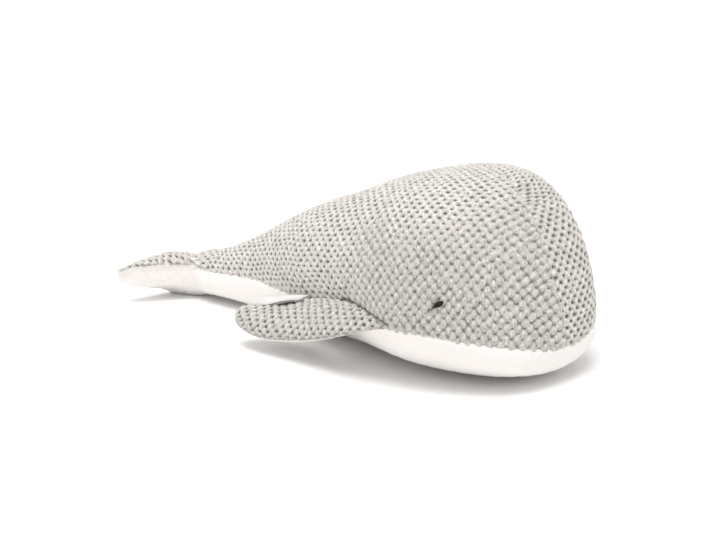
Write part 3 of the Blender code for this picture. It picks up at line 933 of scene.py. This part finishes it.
# %% The fluke's form
# Place behind the cut, half width, rise, fall, drop of the seam
fluke_station_shares = np.array((
    (-0.40, 0.330, 0.98, 1.00, 0.0),
    (-0.02, 0.330, 0.98, 1.00, 0.0),
    (0.200, 0.345, 1.05, 1.02, 0.0),
    (0.440, 0.560, 1.12, 1.08, 0.02),
    (0.680, 0.810, 1.08, 1.08, 0.08),
    (0.900, 1.000, 1.00, 1.16, 0.14),
    (1.000, 0.900, 0.90, 1.18, 0.16),
))
fluke_seam = 0.2036 * body_height
fluke_rise = 0.0982 * body_height
fluke_fall = 0.1779 * body_height
fluke_reach = fluke_length - 2.5 * mm  # of its seam; the cloth bulges past it
right_lobe_climb, right_lobe_start = 0.085, 8 * mm
left_lobe_drop = 6 * mm
fluke_dip_share = 0.58           # how much of its rise the fluke's middle loses
fluke_dip_reach, fluke_dip_start = 18 * mm, (-0.1, 0.25)
fluke_droop, droop_start = 2.5 * mm, 0.72
fluke_bulge, bulge_start = 4.0 * mm, (0.1, 0.5)
bulge_shares = (0.35, 0.3)       # how far in from the sides and from the back edge
stock_end = 0.4                  # share of its length at which the body's form ends
under_swell = 0.08               # how much deeper the underside is than the stations say
right_lobe_loss = 0.24           # and how much of its depth the right lobe loses
right_lobe_ease, left_lobe_ease = (5 * mm, 32 * mm), (5 * mm, 35 * mm)
# Where the edge starts to round off, and its power; the powers of crown and edge
top_roundness = (0.5, 2.0, 0.62, 0.55)
under_roundness = (0.72, 2.6, 0.36, 0.42)
fluke_curve = curve_through(fluke_station_shares[:, 0], fluke_station_shares[:, 1:])
fluke_columns, fluke_rows = 150, 192


def pillow_points(path, across, over):
    """The fluke as a pillow: half widths from the stations, and a crown that is one
    less the square of the place across, to a power, times a like one along it."""
    place = (cut_x - path) / fluke_reach
    width, rise, fall, sag = (part[:, None] for part in fluke_curve(place).T)
    place = place[:, None]
    start, bend, power, edge_power = top_roundness if over else under_roundness
    edge = (1 - np.clip((place - start) / (1 - start), 0, 1) ** bend) ** edge_power
    crown = np.maximum(1 - across ** 2, 0) ** power * edge
    x = path[:, None]
    y = across * width * fluke_span / 2
    corner = ease(place, droop_start, 1.0) * across ** 4
    rise = rise * (1 - fluke_dip_share * ease(place, *fluke_dip_start)
                   * np.exp(-(y / fluke_dip_reach) ** 2))
    z = fluke_seam - sag * fluke_fall - fluke_droop * corner
    z = z + crown * (rise * fluke_rise if over else -fall * fluke_fall)
    if not over:
        swell = under_swell - right_lobe_loss * ease(-y, *right_lobe_ease)
        z = z - crown * swell * fall * fluke_fall
        inwards = np.clip((1 - np.abs(across)) / bulge_shares[0], 0, 1)
        y = y + np.sign(across) * fluke_bulge * np.sin(np.pi * inwards) \
            * ease(place, *bulge_start)
        x = x - fluke_bulge * np.sin(np.pi * np.clip((1 - place) / bulge_shares[1], 0, 1))
    return np.stack(np.broadcast_arrays(x, y, z), -1)


def stock_points(path, across, over):
    """The body's own sections carried on behind the cut, by shares of their length
    from one side seam over the middle to the other."""
    behind = np.maximum(path, station_rows[0, 0])
    half = np.linspace(0, 1, len(across) // 2 + 1)
    right, _ = evened(behind, np.pi / 2 if over else -np.pi / 2, half)
    points = both_sides(right)
    points[..., 0] = path[:, None]
    return points


def fluke_grid(over):
    """Places along X and points of one face of the fluke, and the stock's share at
    each place: one over the body's end, none over the lobes."""
    path = np.linspace(tail_x, cut_x - fluke_reach, fluke_columns + 1)
    across = np.linspace(-1, 1, fluke_rows + 1)
    share = ease(path, cut_x - stock_end * fluke_length, tail_x)[:, None]
    points = stock_points(path, across, over) * share[..., None] \
        + pillow_points(path, across[None, :], over) * (1 - share[..., None])
    climb = right_lobe_climb * np.maximum(-points[..., 1] - right_lobe_start, 0)
    drop = left_lobe_drop * ease(points[..., 1], *left_lobe_ease)
    points[..., 2] += (climb - drop) * (1 - share)
    return path, points, share


print("fluke's widest reach", round(float(fluke_grid(True)[1][..., 1].max()), 4))

# %% [markdown]
# The fluke's knit is the tail's, whose columns run on over the stock. Towards the
# lobes they straighten, and at the waist, where many meet, the bobbles lie flatter.
# Both faces blend from the body to the fluke, because the cloth bends there.

# %% The fluke's faces
edge_fade = (0.1 * mm, 1.4 * mm)  # where bobbles begin at the edge of a small piece
tip_fade = (2 * mm, 10 * mm)     # and where they begin at the fluke's tips
fluke_fade = 1.2 * mm            # from its edge to where its cloth stands over the form
fluke_openness = (0.8, 0.9)      # of its bobbles and of their painted shade
waist_back, waist_reach = 8 * mm, 9 * mm
waist_relief_loss, waist_painted_shade_loss = 0.75, 0.5


def make_fluke(over, name, finish):
    """One face of the fluke, from the body's cloth to its back edge."""
    path, points, held = fluke_grid(over)
    length = run_lengths(points)
    middle = length[:, fluke_rows // 2][:, None]
    from_side = from_ends(length)
    from_edge = np.minimum(from_side, (path - path[-1])[:, None])
    normals = normals_of(points, 1.0 if over else -1.0)
    fade = ease(from_edge, 0, fluke_fade)
    from_tips = np.minimum(*(distance_to(points[-1, end], points) for end in (0, -1)))
    fields = {}
    if over:
        behind = (path - cut_x)[:, None]
        columns = between((body_columns(behind, from_side + lean_top),
                           body_columns(behind, from_side)), held)
        rows = (middle[0] - np.abs(length - middle)) / row_period
        knit, hole = bobbles(columns, rows, fluke_openness[0])
        waist = np.exp(-((behind + waist_back) / waist_reach) ** 2
                       - (from_side / waist_reach) ** 2)
        relief = ease(from_edge, *edge_fade) * ease(from_tips, *tip_fade)
        rise = knit_rise(knit, relief * (1 - waist_relief_loss * waist)) \
            - seam_dip(from_side, "fluke")
        # Painted shade of creases and holes, lighter at the waist
        painted_shade = painted_knit_shade(knit, hole, relief * (1 - waist_painted_shade_loss * waist),
                         fluke_openness[1])
        fields = {"knit": np.stack([columns, rows], -1), "painted_shade": painted_shade}
    else:
        rise = plush_rise(points, from_side, "plush")
    face = points + normals * (rise * fade)[..., None]
    face[..., 2] = np.maximum(face[..., 2], clearance)
    thing = panel_object(name, face, normals, finish, fields)
    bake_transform(thing)
    return thing


fluke_top = make_fluke(True, "knit_fluke_top", finishes["knit"])
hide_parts("fluke_top_panel", "fluke_filling")
fluke_under = make_fluke(False, "plush_fluke_under", finishes["plush"])
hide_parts("fluke_under_panel")

# %% [markdown]
# A flipper is a leaf-shaped pillow, sewn into the side seam along its root and swept
# back beside the body. It could be a flat cutout that is inflated. Here two outline
# curves, its outer edge and its inner edge, carry a section from the root to the tip,
# so that both edges follow the photograph.

# %% The flippers' form
# Along the length, outwards from the root's front by the width, down by the drop
flipper_front_shares = np.array((
    (0.00, 0.00, 0.00), (0.16, 0.06, 0.24), (0.34, 0.05, 0.58), (0.54, 0.01, 0.86),
    (0.75, 0.02, 1.00), (0.92, -0.04, 0.88), (0.98, -0.20, 0.72)))
flipper_back_shares = np.array((
    (0.42, -0.50, 0.04), (0.51, -0.60, 0.18), (0.62, -0.72, 0.33), (0.74, -0.78, 0.45),
    (0.86, -0.72, 0.53), (0.95, -0.50, 0.61), (0.98, -0.32, 0.68)))
flipper_crown_shares = (0.55, 0.82, 0.97, 1.00, 0.97, 0.86, 0.70)
flipper_columns, flipper_rows = 210, 96
flipper_column_width = 7.8 * mm
flipper_row_period = 8.2 * mm
flipper_swell = 1.1              # how much thicker it is than its drawn thickness
# Angles round the section at which its two seams lie, at the root and at the tip
front_seam_turns, back_seam_turns = np.radians((-26, -20)), np.radians((186, 200))
# Shares of the length over which the seams turn and the tip drops
front_seam_run, back_seam_run, tip_run = (0.15, 0.6), (0.3, 0.8), (0.2, 0.9)
root_tuck, tip_drop = 5 * mm, 3 * mm
tip_power = 6                    # the higher, the blunter the tip


def flipper_places(shares):
    """Places in the frame on the right flipper, from its shares."""
    places, widths = station_rows[:len(body_station_shares), :2].T
    root_y = -half_width * np.interp(flipper_root_x, places, widths)
    along, out, down = shares.T
    return np.stack([flipper_root_x - along * flipper_length,
                     root_y - out * flipper_width,
                     flipper_root_height - down * flipper_drop], -1)


stations = np.linspace(0, 1, len(flipper_front_shares))
front_curve = curve_through(stations, flipper_places(flipper_front_shares))
back_curve = curve_through(stations, flipper_places(flipper_back_shares))
crown_curve = curve_through(stations, flipper_crown_shares)


def flipper_grid(over):
    """Points of one face of the right flipper. A section is an ellipse between the two
    edge curves, and the knit runs a little way round the front edge, to a seam that
    shows a rim of plush under it."""
    tuck = root_tuck / flipper_length
    run = np.linspace(-tuck, 1, flipper_columns + 1)
    share = np.clip(run, 0, 1)
    front_seam = between(front_seam_turns, ease(share, *front_seam_run))[:, None]
    back_seam = between(back_seam_turns, ease(share, *back_seam_run))[:, None]
    first = front_seam if over else front_seam + 2 * np.pi
    turn = first + (back_seam - first) * np.linspace(0, 1, flipper_rows + 1)[None, :]
    front, back = front_curve(share)[:, None], back_curve(share)[:, None]
    points = (front + back) / 2 + (front - back) / 2 * np.cos(turn)[..., None]
    points[..., 1] += np.maximum(-run, 0)[:, None] * flipper_length
    edge = np.maximum(1 - share ** tip_power, 0)[:, None] ** 0.5
    depth = crown_curve(share)[:, None] * edge * flipper_thickness / 2
    points[..., 2] += depth * flipper_swell * np.sin(turn) \
        - tip_drop * ease(share, *tip_run)[:, None]
    return points


print("flipper from", np.round(front_curve(0.0), 3), "to", np.round(front_curve(1.0), 3))

# %% [markdown]
# On a flipper the columns are planes across it and the rows are measured round its
# section. The label presses a slight dent into the right flipper's knit.

# %% The flippers' faces
flipper_openness = (0.4, 0.5)    # of its bobbles and of their painted shade
flipper_painted_shade_gain, flipper_painted_shade = 1.25, 0.05  # painted shade: its yarn is drawn darker, as it lies in more shade
# painted shadow on the knit next to the flipper's root, and its reach
flipper_root_painted_shadow, root_shadow_reach = 0.7, 6.5 * mm
flipper_row_start = 0.25         # row number along its middle
flipper_tip_fade = (1 * mm, 4 * mm)
flipper_fades = (1 * mm, 3 * mm)  # from edge and tip to where cloth stands over the form
label_rest = np.array([-8.0, -66.0]) * mm
label_press = 2.5 * mm           # how far the label dents the cloth that it lies on
label_press_reach = np.array([19.0, 10.0]) * mm


def make_flipper(side, word, over):
    """One face of a flipper, with the knit's lattice measured along and across it."""
    points = flipper_grid(over)
    from_edge = from_ends(run_lengths(points))
    from_tip = distance_to(points[-1, flipper_rows // 2], points)
    normals = normals_of(points, 1.0 if over else -1.0, (-1.0, 0.0, 0.0))
    fields = {}
    if over:
        across = run_lengths(points[..., 1:])
        columns = points[..., 0] / flipper_column_width
        rows = (across - across[:, flipper_rows // 2][:, None]) / flipper_row_period \
            + flipper_row_start
        knit, hole = bobbles(columns, rows, flipper_openness[0])
        relief = ease(from_edge, *edge_fade) * ease(from_tip, *flipper_tip_fade)
        rise = knit_rise(knit, relief) - seam_dip(from_edge, "flipper")
        # Painted shade of creases and holes, darker on the flipper, and a painted shadow
        # at its root
        shade = painted_knit_shade(knit, hole, relief, flipper_openness[1])
        from_root = distance_to(points[:1], points)
        shadow = flipper_root_painted_shadow * np.exp(-(from_root / root_shadow_reach) ** 4)
        painted_shade = np.maximum(flipper_painted_shade_gain * shade + flipper_painted_shade, shadow)
        fields = {"knit": np.stack([columns, rows], -1), "painted_shade": painted_shade}
    else:
        rise = plush_rise(points, from_edge, "flipper")
    if over and side < 0:
        away = (points[..., :2] - label_rest) / label_press_reach
        rise -= label_press * np.exp(-(away ** 2).sum(-1))
    fade = ease(from_edge, 0, flipper_fades[0]) * ease(from_tip, 0, flipper_fades[1])
    face = points + normals * (rise * fade)[..., None]
    stuff = "knit" if over else "plush"
    thing = panel_object(f"{stuff}_flipper_{word}", side_mirrored(face, side),
                         side_mirrored(normals, side), finishes[stuff], fields)
    hinge = hinges[f"flipper_{word}_lift"]
    outwards = np.cross(np.array(hinge["axis"], float), (0, 0, 1))
    outwards /= np.linalg.norm(outwards)
    if outwards[1] * side < 0:
        outwards = -outwards
    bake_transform(thing)
    if over:
        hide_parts(f"flipper_{word}_top_panel", f"flipper_{word}_filling")
    else:
        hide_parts(f"flipper_{word}_under_panel")


for side, word in sides:
    for over in (True, False):
        make_flipper(side, word, over)

# %% [markdown]
# An eye is a leaf of black satin stitches. Its long threads lie side by side from one
# tip to the other, and the last of them runs on a little way as a loose end. Single
# threads as tubes would be too fine to see, so one crown with ridges stands for them.

# %% Eyes
# Place along the leaf, half width over and under the line between its tips, in mm
eye_outline = np.array((
    (-8.0, 0.11, 0.12), (-6.4, 0.13, 0.15), (-4.5, 0.18, 0.18), (-3.0, 0.75, 0.40),
    (-1.0, 1.45, 1.15), (0.9, 1.95, 1.75), (2.8, 1.50, 1.45), (4.0, 0.75, 0.70),
    (4.6, 0.20, 0.20))) * mm
eye_run = np.array([0.68, 0.47, 0.56])
eye_columns, eye_rows = 96, 24
eye_crown_share = 0.38           # its height over its half width
eye_sink = 0.9 * mm              # how deep its edge lies in the cheek
eye_bend = 4.5                   # its fall from the middle, by the distance squared
eye_least, eye_thickness = 0.08 * mm, 0.6 * mm  # least half width, and thickness
thread_height, thread_count = 0.09 * mm, 5
thread_widths = (0.2 * mm, 1.2 * mm)  # half widths where ridges begin and are whole
loose_end_sag, loose_end_run = 0.35 * mm, (-4 * mm, -8 * mm)


def make_eye(side, word):
    """A leaf set on the cheek: a low crown across it, ridged by the threads."""
    facing = eye_facing / np.linalg.norm(eye_facing)
    run = eye_run - facing * (eye_run @ facing)
    run /= np.linalg.norm(run)
    over = np.cross(run, facing)
    over *= np.sign(over[2])
    widths = curve_through(eye_outline[:, 0], eye_outline[:, 1:])
    place = np.linspace(eye_outline[0, 0], eye_outline[-1, 0], eye_columns + 1)
    across = np.linspace(-1, 1, eye_rows + 1)[None, :]
    upper, lower = (np.maximum(part, eye_least)[:, None] for part in widths(place).T)
    aside = np.where(across > 0, across * upper, across * lower)
    crown = eye_crown_share * np.sqrt(1 - across ** 2) * (upper + lower) / 2
    threads = thread_height * np.cos(across * thread_count * np.pi) \
        * ease(upper, *thread_widths)
    sag = loose_end_sag * ease(place, *loose_end_run)[:, None]
    lift = crown + threads - eye_sink - eye_bend * (place[:, None] ** 2 + aside ** 2)
    points = (eye_middle + run * place[:, None, None] + over * (aside - sag)[..., None]
              + facing * lift[..., None])
    normals = np.broadcast_to(facing, points.shape)
    thing = panel_object(f"stitched_eye_{word}", side_mirrored(points, side),
                         side_mirrored(normals, side), finishes["thread"], {},
                         eye_thickness)
    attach(thing, "body")
    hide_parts(f"eye_{word}")


for side, word in sides:
    make_eye(side, word)

# %% [markdown]
# The care label is a short ribbon folded in two. Both ends are caught in the seam at
# the back of the right flipper, and the fold lies towards the tail. A cloth
# simulation would let it fall as it likes. A path with a twist lays it as it is seen.

# %% Care label
label_start = np.array([15.0, -57.5, 40.0]) * mm
label_end = np.array([-25.0, -62.6, 34.6]) * mm
label_slopes = (0.05, 0.36)      # fall across it at its root and at its fold
label_width = 13 * mm
label_cloth = 0.3 * mm
label_fold = 0.5 * mm            # radius of the fold
label_lean = 0.25                # how far its width points forward
label_wave, label_wave_run, label_wave_start = 0.5 * mm, 5.0, 0.6  # height; radians
label_curl = 10.0                # fall of its sides, by the distance squared
label_spreads = (0.35, 1.0)      # how open the ribbon lies at its root and its fold
label_spread_run = 0.6           # share of its reach at which it is fully open
label_columns, label_rows = 96, 18


def make_label():
    """A ribbon that runs out, round its fold and back: two lines and a half circle in
    section, with a slight wave along it, and a twist and a curl across."""
    run = label_end - label_start
    reach = np.linalg.norm(run)
    run /= reach
    arc = np.pi * label_fold
    length = 2 * reach + arc
    place = np.linspace(0, length, label_columns + 1)
    bend = np.clip((place - reach) / arc, 0, 1) * np.pi
    out = np.minimum(place, reach) - np.maximum(place - reach - arc, 0) \
        + label_fold * np.sin(bend)
    twist = ease(out, 0, reach)[:, None]
    slope = between(label_slopes, twist)
    across = np.concatenate([label_lean + 0 * slope, -1 + 0 * slope, -slope], 1)
    across -= run * (across @ run)[:, None]
    across /= np.linalg.norm(across, axis=1, keepdims=True)
    facing = np.cross(across, run)
    facing *= np.sign(facing[:, 2:])
    opened = between(label_spreads, ease(out, 0, label_spread_run * reach))
    lift = label_fold * np.cos(bend) * opened
    wave = label_wave * np.sin(out / reach * label_wave_run + label_wave_start)
    aside = np.linspace(0, label_width, label_rows + 1)[None, :]
    curl = label_curl * (aside - label_width / 2) ** 2 * twist
    points = (label_start + run * out[:, None, None]
              + across[:, None] * aside[..., None]
              + facing[:, None] * ((lift + wave)[:, None] - curl)[..., None])
    normals = normals_of(points, 1.0)
    thing = panel_object("folded_label", points, normals, finishes["ribbon"], {},
                         label_cloth)
    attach(thing, "flipper_right")
    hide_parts("care_label")


make_label()

# %% [markdown]
# The toy lies on a white floor. More light would make the floor white, but the toy
# too pale. Instead the floor has a little glow of its own, for the camera and for
# reflections only. It is white where nothing shades it and keeps the toy's shadow.

# %% Floor
floor_width = 30
floor_colour = (0.89, 0.89, 0.89, 1.0)
floor_glow = 0.03


def make_floor():
    """A flat pale floor, white in full light and darker in shadow."""
    bpy.ops.mesh.primitive_plane_add(size=floor_width)
    floor = bpy.context.object
    floor.name = "floor"
    made = bpy.data.materials.new("pale_floor")
    made.use_nodes = True
    nodes = Nodes(made.node_tree)
    made.node_tree.nodes.remove(made.node_tree.nodes["Principled BSDF"])
    rays = nodes.add("ShaderNodeLightPath").outputs
    seen = nodes.math("MAXIMUM", rays["Is Camera Ray"], rays["Is Glossy Ray"])
    strength = nodes.math("MULTIPLY", seen, floor_glow)
    glow = nodes.add("ShaderNodeEmission", Strength=strength)
    ground = nodes.add("ShaderNodeBsdfDiffuse", Color=floor_colour)
    both = nodes.add("ShaderNodeAddShader", i0=ground.outputs[0], i1=glow.outputs[0])
    nodes.join(both.outputs[0], "Material Output", "Surface")
    floor.data.materials.append(made)
    print(floor.name, floor_width, "metres wide")


make_floor()

# %% [markdown]
# The photograph has soft light from nearly overhead. A dome of light alone would leave
# no shadow, and a small lamp a hard one. So a sky that is brighter above gives most of
# it, and a broad lamp draws the soft shadow under the toy. The sky is seen as white.

# %% Light
sky_colours = ((0.53, 0.53, 0.54, 1.0), (0.84, 0.84, 0.835, 1.0))  # below and above
# Name, strength, spread in degrees, colour, and where it shines from
lamps = (("softbox", 1.86, 36, (1.0, 0.985, 0.965), (0.08, -0.25, 1.0)),
         ("fill", 0.05, 40, (1.0, 0.99, 0.975), (0.70, -0.70, 0.20)))


def make_lights():
    """A sky graded by height and white where it is seen, a broad lamp nearly overhead
    and a weak one from the camera's side."""
    world = bpy.data.worlds.new("studio")
    world.use_nodes = True
    nodes = Nodes(world.node_tree)
    place = nodes.add("ShaderNodeTexCoord").outputs["Generated"]
    height = nodes.add("ShaderNodeSeparateXYZ", i0=place).outputs["Z"]
    grade = nodes.add("ShaderNodeValToRGB", i0=height)
    for stop, colour in zip(grade.color_ramp.elements, sky_colours):
        stop.color = colour
    sky = world.node_tree.nodes["Background"]
    sky.inputs["Strength"].default_value = 1.0
    nodes.join(grade.outputs[0], sky.name, "Color")
    seen = nodes.add("ShaderNodeBackground", Color=(1.0, 1.0, 1.0, 1.0)).outputs[0]
    camera_rays = nodes.add("ShaderNodeLightPath").outputs["Is Camera Ray"]
    mixed = nodes.add("ShaderNodeMixShader", i0=camera_rays, i1=sky.outputs[0], i2=seen)
    nodes.join(mixed.outputs[0], "World Output", "Surface")
    bpy.context.scene.world = world
    for name, energy, spread, colour, source in lamps:
        lamp = bpy.data.lights.new(name, "SUN")
        lamp.energy = energy
        lamp.angle = np.radians(spread)
        lamp.color = colour
        holder = bpy.data.objects.new(name, lamp)
        bpy.context.scene.collection.objects.link(holder)
        holder.rotation_euler = Vector(source).to_track_quat("Z", "Y").to_euler()
        print(name, "strength", energy, "spread", spread)


make_lights()

# %% [markdown]
# The camera stands where the photograph was taken from: a little above the toy, in
# front of its right side. It could be placed by eye. These values were fitted to
# places on the toy that can be told in the photograph.

# %% Camera
camera_turn = np.radians(42.906)
camera_rise = np.radians(12.847)
camera_distance = 0.9939
camera_target = np.array([9.5, 0.0, 50.0]) * mm
camera_lens = 66.09              # in mm, before a sensor 36 mm wide
camera_shift = -1.41 / 716       # as a share of the picture's width


def make_camera():
    """A camera at its turn, rise and distance from the target, and turned to it."""
    data = bpy.data.cameras.new("camera")
    data.lens = camera_lens
    data.sensor_width = 36
    data.clip_start = 0.01
    data.shift_y = camera_shift
    camera = bpy.data.objects.new("camera", data)
    bpy.context.scene.collection.objects.link(camera)
    away = np.array([np.sin(camera_turn) * np.cos(camera_rise),
                     -np.cos(camera_turn) * np.cos(camera_rise), np.sin(camera_rise)])
    camera.location = camera_target + away * camera_distance
    camera.rotation_euler = Vector(away).to_track_quat("Z", "Y").to_euler()
    bpy.context.scene.camera = camera
    print("camera at", np.round(camera.location, 3))


make_camera()
bpy.context.scene.view_settings.view_transform = "Standard"
